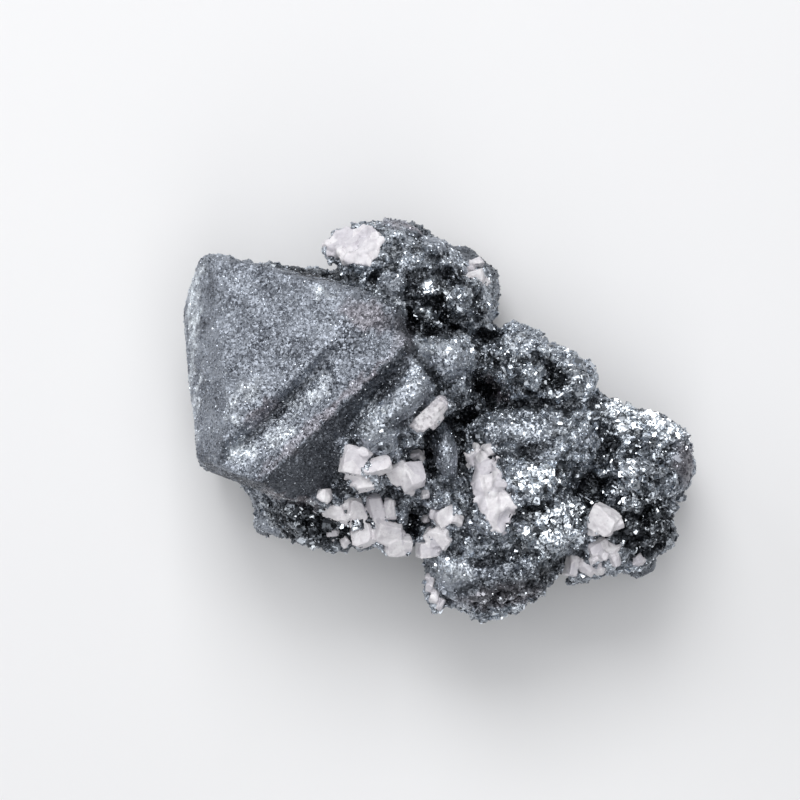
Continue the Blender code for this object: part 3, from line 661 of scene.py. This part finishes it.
class Finish:
    """A material and short ways to add and join its nodes."""

    def __init__(self, name):
        self.material = bpy.data.materials.new(name)
        self.material.use_nodes = True
        self.tree = self.material.node_tree
        self.shader = self.tree.nodes["Principled BSDF"]

    def add(self, kind, inputs=None, **settings):
        node = self.tree.nodes.new("ShaderNode" + kind)
        for name, value in settings.items():
            setattr(node, name, value)
        for name, value in (inputs or {}).items():
            self.feed(node.inputs[name], value)
        return node

    def feed(self, socket, value):
        """Joins an output to a socket, or sets the socket's own value."""
        if isinstance(value, bpy.types.NodeSocket):
            self.tree.links.new(value, socket)
        else:
            socket.default_value = value

    def set(self, **values):
        for name, value in values.items():
            self.feed(self.shader.inputs[name.replace("_", " ")], value)

    def place(self):
        return self.add("TexCoord").outputs["Object"]

    def share(self, name):
        return self.add("Attribute", attribute_name=name).outputs["Fac"]

    def cloud(self, size, detail=2.0, roughness=0.5):
        """Soft noise whose features are about this many millimetres."""
        node = self.add(
            "TexNoise", {"Vector": self.place(), "Scale": 1 / (size * MM), "Detail": detail, "Roughness": roughness}
        )
        return node.outputs["Fac"]

    def cells(self, size):
        """Voronoi cells about this many millimetres across."""
        return self.add("TexVoronoi", {"Vector": self.place(), "Scale": 1 / (size * MM)})

    def spread(self, value, low, high, to_low=0.0, to_high=1.0):
        inputs = {"Value": value, "From Min": low, "From Max": high, "To Min": to_low, "To Max": to_high}
        return self.add("MapRange", inputs).outputs["Result"]

    def blend(self, share, first, second, kind="MIX"):
        node = self.add("Mix", data_type="RGBA", blend_type=kind)
        for socket, value in ((node.inputs[0], share), (node.inputs[6], first), (node.inputs[7], second)):
            self.feed(socket, value)
        return node.outputs[2]

    def facet_normals(self, size, tilt):
        """Normals that turn from cell to cell, as on a skin of tiny crystals."""
        colour = self.cells(size).outputs["Color"]
        centred = self.add("VectorMath", {0: colour, 1: (0.5, 0.5, 0.5)}, operation="SUBTRACT")
        turned = self.add("VectorMath", {0: centred.outputs[0], "Scale": tilt}, operation="SCALE")
        normal = self.add("NewGeometry").outputs["Normal"]
        summed = self.add("VectorMath", {0: normal, 1: turned.outputs[0]}, operation="ADD")
        return self.add("VectorMath", {0: summed.outputs[0]}, operation="NORMALIZE").outputs[0]


def floor_finish():
    made = Finish("pale_paper")
    shade = made.spread(made.cloud(60, 3), 0.3, 0.7)
    made.set(Base_Color=made.blend(shade, FLOOR_COLOUR, (0.85, 0.85, 0.855, 1)), Roughness=0.75)
    made.shader.inputs["Specular IOR Level"].default_value = 0.2
    return made.material


BLACK = (0.018, 0.020, 0.024, 1)
DARK = (0.12, 0.132, 0.158, 1)
GREY = (0.37, 0.40, 0.455, 1)
LIGHT_DARK = (0.17, 0.187, 0.217, 1)
LIGHT_GREY = (0.56, 0.605, 0.67, 1)
# the colour of the shining places, partly painted highlight
BRIGHT = (0.80, 0.85, 0.90, 1)
ROSY = (0.33, 0.29, 0.315, 1)


def hematite_colour(made, luck):
    """Steel grey that varies over the specimen and from grain to grain, rosy in places, bright in places with a painted
    highlight, and dark in places, mostly with painted shade.
    """
    broad = made.spread(made.cloud(2.5, 4), 0.36, 0.64)
    calm = made.blend(made.spread(luck, 0.2, 0.9, 0, 0.8), made.blend(broad, DARK, GREY), GREY)
    wild = made.blend(made.spread(luck, 0.2, 0.9, 0, 0.8), made.blend(broad, LIGHT_DARK, LIGHT_GREY), LIGHT_GREY)
    lucky = made.blend(made.share("wild"), calm, wild)
    rosy = made.blend(made.share("warm"), lucky, ROSY)
    # The shining places, partly a painted highlight
    silver_and_highlight = made.blend(made.share("silver_and_highlight"), rosy, BRIGHT)
    pores = made.spread(made.cloud(0.42, 3, 0.65), 0.55, 0.62, 0, 0.75)
    open_ground = made.blend(pores, silver_and_highlight, BLACK)
    mottled = made.blend(made.spread(made.share("wild"), 0, 1, 0.3, 1), silver_and_highlight, open_ground)
    # The dark share, mostly painted shade
    return made.blend(made.share("dark"), mottled, BLACK)


def hematite_skin():
    made = Finish("hematite_skin")
    luck = made.add("SeparateColor", {"Color": made.cells(SKIN_GRAIN).outputs["Color"]}).outputs["Red"]
    made.set(
        Base_Color=hematite_colour(made, luck),
        Metallic=1.0,
        Roughness=made.spread(luck, 0, 1, 0.32, 0.55),
        Normal=made.facet_normals(SKIN_GRAIN, 0.8),
    )
    return made.material


def hematite_grain():
    made = Finish("hematite_grain")
    luck = made.share("luck")
    made.set(
        Base_Color=hematite_colour(made, luck),
        Metallic=1.0,
        Roughness=made.spread(luck, 0, 1, 0.42, 0.2),
    )
    return made.material


def white_finish(name, dust_most, dust_from):
    """Milky white with greyer blocks and grey dust, which lies where its noise is over dust_from."""
    made = Finish(name)
    cloudy = made.spread(made.cloud(0.9, 4, 0.6), 0.35, 0.65)
    colour = made.blend(cloudy, (0.68, 0.655, 0.685, 1), (0.88, 0.865, 0.885, 1))
    block = made.add("SeparateColor", {"Color": made.cells(2.0).outputs["Color"]}).outputs["Green"]
    greyer = made.blend(made.spread(block, 0.45, 1, 0, 0.8), colour, (0.58, 0.56, 0.61, 1))
    dusty = made.spread(made.cloud(0.5, 3, 0.6), dust_from, dust_from + 0.1, 0, dust_most)
    bump = made.add("Bump", {"Height": made.cloud(0.25, 4, 0.65), "Strength": 0.35, "Distance": 0.12 * MM})
    made.set(
        Base_Color=made.blend(dusty, greyer, (0.42, 0.40, 0.42, 1)),
        Roughness=made.spread(cloudy, 0, 1, 0.55, 0.38),
        Normal=bump.outputs["Normal"],
        Subsurface_Weight=0.08,
        Subsurface_Radius=(1.0, 0.9, 0.9),
        Subsurface_Scale=0.6 * MM,
    )
    return made.material


# Hematite


def fill_seats(body):
    """Fills the seats of the white crystals, so that chips can lie on the surface there."""
    fills = []
    for node in CHIPS:
        fill = copy_of(node, "fill")
        modify(fill, "DISPLACE", strength=0.34, mid_level=0)
        fill.location = (0, 0, -0.75)
        fills.append(fill)
    join(body, fills)


def open_above(body):
    """For each point of a piece, 1 where nothing of it lies above."""
    tree = BVHTree.FromPolygons(
        [vertex.co for vertex in body.data.vertices], [face.vertices for face in body.data.polygons]
    )
    up = Vector((0, 0, 1))
    return np.array([tree.ray_cast(vertex.co + up * 0.4, up)[0] is None for vertex in body.data.vertices], float)


def height_of(face, points):
    """The height of one of the large crystal's faces at each point, seen from above."""
    normal, away = face
    level = (points[:, :2] - CRYSTAL_MIDDLE[:2]) @ np.array(normal[:2])
    return CRYSTAL_MIDDLE[2] + (away - level) / normal[2]


def crystal_height(points):
    """The large crystal's upper side with its step, where the second crystal and the band meet."""
    plain = np.minimum(height_of(FRONT_FACE, points) - BAND_DROP, height_of(LOW_FACE, points) + LOW_RISE)
    plate = np.minimum(height_of(PLATE_FACE, points), height_of(RISER_FACE, points))
    return np.maximum(plain, plate)


def sculpt(body):
    """Raises the lumps and sinks the clefts into what shows from above."""
    points = points_of(body)
    shown = open_above(body)
    on_band = shown * ease(0, 0.4, depth_inside(BAND_REGION, points))
    on_band *= ease(0.6, 1.2, away_from(BAND_END, points))
    points[:, 2] += on_band * (crystal_height(points) - points[:, 2])
    for *place, rise in LUMPS.values():
        points[:, 2] += shown * rise * np.sqrt(np.clip(1 - away_from(place, points) ** 2, 0, 1))
    points[:, 2] -= shown * FURROW_DEPTH * furrow_share(points)
    for *place, depth in CLEFTS.values():
        points[:, 2] -= shown * depth * np.clip(1 - away_from(place, points) ** 2, 0, 1)
    was_high = shown * (points_of(body)[:, 2] > CLEFT_FLOOR) > 0
    points[was_high, 2] = np.maximum(points[was_high, 2], CLEFT_FLOOR)
    set_points(body, points)


def make_body():
    """The whole cluster as one close mesh, its lumps rounded, pitted and worn."""
    body = copy_of("hematite_cluster", "hematite")
    fill_seats(body)
    modify(body, "REMESH", mode="VOXEL", voxel_size=0.3)
    modify(body, "SMOOTH", factor=0.5, iterations=2)
    sculpt(body)
    modify(body, "REMESH", mode="VOXEL", voxel_size=0.24)
    modify(body, "SMOOTH", factor=0.5, iterations=1)
    smooth = smooth_share(points_of(body))
    lifted = ease(0.3, 1.5, points_of(body)[:, 2])
    set_group(body, "worn", smooth)
    set_group(body, "rough", (1 - smooth) * lifted * (1 - calm_share(points_of(body))))
    set_group(body, "lifted", lifted)
    set_group(body, "low", lifted * low_share(points_of(body)))
    modify(body, "SMOOTH", factor=0.5, iterations=4, vertex_group="worn")
    relief(body, "chunks", "VORONOI", 4.2, -LOW_CHUNKS, "low")
    relief(body, "knobs", "VORONOI", 1.9, -0.75, "rough", distance_metric="MANHATTAN")
    relief(body, "crumbs", "VORONOI", 0.85, -0.4, "rough", distance_metric="MANHATTAN")
    relief(body, "swell", "CLOUDS", 3.5, 0.35, "worn", noise_depth=2)
    relief(body, "pits", "CLOUDS", 0.5, 0.2, "lifted", noise_depth=2)
    points = points_of(body)
    points[:, 2] = np.clip(points[:, 2], 0, GRAIN_TOP)
    set_points(body, points)
    faces = sum(len(face.vertices) - 2 for face in body.data.polygons)
    if faces > BODY_MOST_FACES:
        modify(body, "DECIMATE", ratio=BODY_MOST_FACES / faces)
    return body


def corners_of(thing):
    """The three vertices of each of a piece's triangles."""
    thing.data.calc_loop_triangles()
    index = np.empty(len(thing.data.loop_triangles) * 3, np.int32)
    thing.data.loop_triangles.foreach_get("vertices", index)
    return index.reshape(-1, 3)


def faces_of(thing):
    """The corners, normals and areas of a piece's triangles."""
    corners = points_of(thing)[corners_of(thing)]
    across = np.cross(corners[:, 1] - corners[:, 0], corners[:, 2] - corners[:, 0])
    double = np.linalg.norm(across, axis=1) + 1e-12
    return corners, across / double[:, None], double / 2


def scatter(surface, count, chance, dice):
    """Points on a surface, thicker where chance is higher, with the normals and the faces there."""
    corners, normals, areas = surface
    weight = areas * chance
    picked = dice.choice(len(areas), count, p=weight / weight.sum())
    first, second = dice.random((2, count))
    over = first + second > 1
    first[over], second[over] = 1 - first[over], 1 - second[over]
    start = corners[picked, 0]
    spot = start + first[:, None] * (corners[picked, 1] - start) + second[:, None] * (corners[picked, 2] - start)
    return spot, normals[picked], picked


def unit(rows):
    return rows / (np.linalg.norm(rows, axis=1)[:, None] + 1e-12)


def grains(name, spots, aims, sizes, points, faces, luck):
    """One mesh of many small crystals, each at its spot with its flat side turned to its aim."""
    dice = np.random.default_rng(len(spots))
    across = unit(np.cross(aims, dice.normal(size=aims.shape)))
    axes = np.stack([across, np.cross(aims, across), aims], axis=1)
    shape = np.array(points, float)
    uneven = shape[None] + GRAIN_UNEVEN * dice.normal(size=(len(spots), len(shape), 3))
    made = spots[:, None, :] + np.einsum("nvi,nij->nvj", uneven * sizes[:, None, :], axes)
    index = np.array(faces)[None] + (np.arange(len(spots)) * len(shape))[:, None, None]
    mesh = bpy.data.meshes.new(name)
    mesh.from_pydata(made.reshape(-1, 3), [], index.reshape(-1, index.shape[-1]))
    thing = bpy.data.objects.new(name, mesh)
    bpy.context.scene.collection.objects.link(thing)
    set_share(thing, "luck", np.repeat(luck, len(shape)))
    return thing


def gleam_aim():
    """The way a flat face looks that sends the key light up to the camera."""
    return np.array((direction(KEY_LIGHT["bearing"], KEY_LIGHT["height"]) + Vector((0, 0, 1))).normalized())


def grain_layer(name, surface, depths, count, chance, size, flat, tilt, points, faces, seed):
    """A layer of grains: how many, their half size from and to, their thickness as a share and their tilt."""
    dice = np.random.default_rng(seed)
    spots, normals, picked = scatter(surface, count, chance, dice)
    keep = (spots[:, 2] > GRAIN_FLOOR) & (spots[:, 2] < GRAIN_TOP)
    spots, normals, depth = spots[keep], normals[keep], depths[picked[keep]]
    often = CALM_GLINTS + (GLINTS - CALM_GLINTS) * wild_share(spots)
    # Glints: grains turned to the key light that also get a painted highlight in their colour and lose painted shade
    glints = dice.random(len(spots)) < often
    silver_and_highlight = np.maximum(silver_and_highlight_share(spots, depth), 0.9 * glints)
    dark = dark_share(spots, normals, depth) * (1 - 0.85 * glints)
    lean = wander(spots, 2.0, 2) * 0.9 + dice.normal(size=spots.shape)
    aims = unit(normals + tilt * lean)
    turned = silver_and_highlight * (normals @ gleam_aim() > 0.3)
    aims = unit(aims * (1 - turned)[:, None] + (gleam_aim() + 0.16 * dice.normal(size=spots.shape)) * turned[:, None])
    reach = size[0] + (size[1] - size[0]) * dice.random(len(spots)) ** 2
    sizes = np.stack([reach, reach * dice.uniform(0.6, 1.0, len(spots)), reach * flat], axis=1)
    made = grains(name, spots, aims, sizes, points, faces, dice.random(len(spots)))
    shares = {"silver_and_highlight": silver_and_highlight, "warm": warm_share(spots), "dark": dark, "wild": wild_share(spots)}
    for share, values in shares.items():
        set_share(made, share, np.repeat(values, len(points)))
    return made


def make_grains(body, depth):
    surface = faces_of(body)
    depths = depth[corners_of(body)].mean(axis=1)
    middles = surface[0].mean(axis=1)
    fine = smooth_share(middles)
    rough = 1 - fine
    calm = calm_share(middles)
    coarse = zone_share(COARSE, middles, ragged(middles)) * (1 - calm)
    bright = 0.1 + silver_and_highlight_share(middles, depths)
    upper = ease(0, 0.6, surface[1][:, 2])
    knobbly = rough * (1 - 0.6 * calm)
    layers = [
        ("fine_grains", 24000, fine, (0.06, 0.15), 0.45, 0.30, OCTAHEDRON_POINTS, OCTAHEDRON_FACES, 11),
        ("knobbly_grains", 24000, knobbly, (0.07, 0.20), 0.75, 0.6, OCTAHEDRON_POINTS, OCTAHEDRON_FACES, 12),
        ("fringe_grains", 24000, knobbly, (0.06, 0.16), 0.60, 0.7, OCTAHEDRON_POINTS, OCTAHEDRON_FACES, 14),
        ("tablet_grains", 13000, rough * (0.12 + coarse), (0.10, 0.30), 0.35, 0.6, TABLET_POINTS, TABLET_FACES, 13),
        ("plate_grains", 2600, rough * coarse * bright, (0.20, 0.50), 0.20, 0.30, TABLET_POINTS, TABLET_FACES, 15),
        ("front_grains", 24000, knobbly * upper, (0.06, 0.17), 0.70, 0.5, OCTAHEDRON_POINTS, OCTAHEDRON_FACES, 16),
    ]
    return [grain_layer(name, surface, depths, *rest) for name, *rest in layers]


def normals_of(thing):
    flat = np.empty(len(thing.data.vertices) * 3, np.float32)
    thing.data.vertex_normals.foreach_get("vector", flat)
    return flat.reshape(-1, 3).astype(float)


def depth_of(body):
    """How deep each point lies in a hollow of the skin, in mm. Below 0 on a rise."""
    calm = body.copy()
    calm.data = body.data.copy()
    bpy.context.scene.collection.objects.link(calm)
    modify(calm, "SMOOTH", factor=0.5, iterations=HOLLOW_REACH)
    depth = ((points_of(calm) - points_of(body)) * normals_of(body)).sum(axis=1)
    bpy.data.objects.remove(calm)
    return depth


def colour_body(body, depth):
    points = points_of(body)
    # On the skin the bright share is only a painted highlight, as no grains are turned there
    set_share(body, "silver_and_highlight", silver_and_highlight_share(points, depth))
    set_share(body, "warm", warm_share(points))
    set_share(body, "wild", wild_share(points))
    # The dark share, mostly painted shade
    set_share(body, "dark", dark_share(points, normals_of(body), depth))


# White mineral


def make_chip(spot, length, width, thick, turn, tilt, dice):
    """A block of white mineral with broken corners."""
    lean = [math.radians(angle) for angle in dice.uniform(-tilt, tilt, 2)]
    bpy.ops.mesh.primitive_cube_add(
        size=1, location=spot, rotation=(*lean, math.radians(turn)), scale=(length, width, thick)
    )
    chip = bpy.context.object
    bpy.ops.object.mode_set(mode="EDIT")
    for _ in range(CORNER_CUTS):
        bearing = dice.uniform(0, 360)
        side = direction(bearing, dice.uniform(0, 50))
        across = math.radians(bearing - turn)
        corner = (length * abs(math.cos(across)) + width * abs(math.sin(across))) / 2
        bpy.ops.mesh.select_all(action="SELECT")
        bpy.ops.mesh.bisect(
            plane_co=spot + side * dice.uniform(*CUT_AT) * corner, plane_no=side, use_fill=True, clear_outer=True
        )
    bpy.ops.object.mode_set(mode="OBJECT")
    return chip


def chips_at(x, y, length, width, turn, group, ground, dice):
    """A chip half sunk in what carries it, with a splinter beside it."""
    stand = SHEET_STAND if group in SHEETS else CHIP_STAND
    tilt = BAR_TILT if group in BARS else CHIP_TILT
    around = dice.uniform(0, math.tau)
    made = []
    for share, away in ((1.0, 0.0),) if group in BARS else ((1.0, 0.0), (0.45, 0.5)):
        plan = Vector((x + away * length * math.cos(around), y + away * length * math.sin(around), 100))
        hit = ground.ray_cast(plan, Vector((0, 0, -1)))[0]
        if hit and hit.z > GRAIN_FLOOR + CHIP_THICK:
            grown = CHIP_GROW * share
            thick = CHIP_THICK * min(1, 0.4 + 0.6 * share)
            height = stand - 0.5 + (0 if group in SHEETS else dice.uniform(-0.5, 1) * CHIP_UNEVEN)
            spot = hit + Vector((0, 0, thick * height))
            made.append(make_chip(spot, length * grown, width * grown, thick, turn + 100 * away, tilt, dice))
    return made


def make_sheet(outline, ground):
    """A thin sheet laid over the body from above, within a ragged outline."""
    corners = np.array(outline)
    low, high = corners.min(axis=0) - 1, corners.max(axis=0) + 1
    bpy.ops.mesh.primitive_grid_add(x_subdivisions=SHEET_STEPS, y_subdivisions=SHEET_STEPS, size=1)
    sheet = bpy.context.object
    points = points_of(sheet)
    points[:, :2] = (low + high) / 2 + points[:, :2] * (high - low)
    hits = [ground.ray_cast(Vector((x, y, 100)), Vector((0, 0, -1)))[0] for x, y in points[:, :2]]
    points[:, 2] = [hit.z if hit else 0 for hit in hits]
    set_points(sheet, points)
    inside = depth_inside(outline, points + ragged(points) * SHEET_RAGGED) > 0
    set_group(sheet, "kept", inside * (points[:, 2] > np.median(points[inside, 2]) - SHEET_HANG))
    modify(sheet, "MASK", vertex_group="kept", threshold=0.5)
    modify(sheet, "SMOOTH", factor=0.5, iterations=6)
    modify(sheet, "SOLIDIFY", thickness=SHEET_THICK, offset=0)
    return sheet


def make_white(node, chips, ground, seed):
    """One group of white mineral, its chips grown together."""
    dice = np.random.default_rng(seed)
    made = [piece for chip in chips for piece in chips_at(*chip, node, ground, dice)]
    for piece in made:
        select_only(piece)
        bpy.ops.object.transform_apply(location=True, rotation=True, scale=True)
    if node in SHEETS:
        made.append(make_sheet(SHEETS[node], ground))
    piece = made[0]
    join(piece, made[1:])
    piece.name = node + "_crystals"
    modify(piece, "REMESH", mode="VOXEL", voxel_size=0.1)
    relief(piece, node + "_break", "CLOUDS", 0.6, 0.14, noise_depth=2)
    relief(piece, node + "_grain", "CLOUDS", 0.2, 0.05, noise_depth=1)
    return piece


def finish_piece(piece, finish, slot, *nodes):
    to_metres(piece)
    piece.data.materials.append(finish)
    select_only(piece)
    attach(piece, BODY)
    if nodes:
        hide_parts(*nodes)


def main():
    bpy.ops.object.select_all(action="DESELECT")
    noise.seed_set(WANDER_SEED)
    make_studio()
    body = make_body()
    depth = depth_of(body)
    layers = make_grains(body, depth)
    ground = BVHTree.FromPolygons(
        [vertex.co for vertex in body.data.vertices], [face.vertices for face in body.data.polygons]
    )
    white = white_finish("white_mineral", 0.4, 0.6)
    dusty = white_finish("dusty_mineral", 0.8, 0.5)
    for seed, (node, chips) in enumerate(CHIPS.items()):
        piece = make_white(node, chips, ground, seed)
        select_only(piece)
        bpy.ops.object.shade_smooth_by_angle(angle=math.radians(28))
        finish_piece(piece, dusty if node in BARS else white, "white_mineral", node)
    colour_body(body, depth)
    select_only(body)
    bpy.ops.object.shade_smooth()
    finish_piece(body, hematite_skin(), "hematite", "hematite_cluster")
    grain = hematite_grain()
    for layer in layers:
        finish_piece(layer, grain, "hematite", "hematite_cluster")


main()
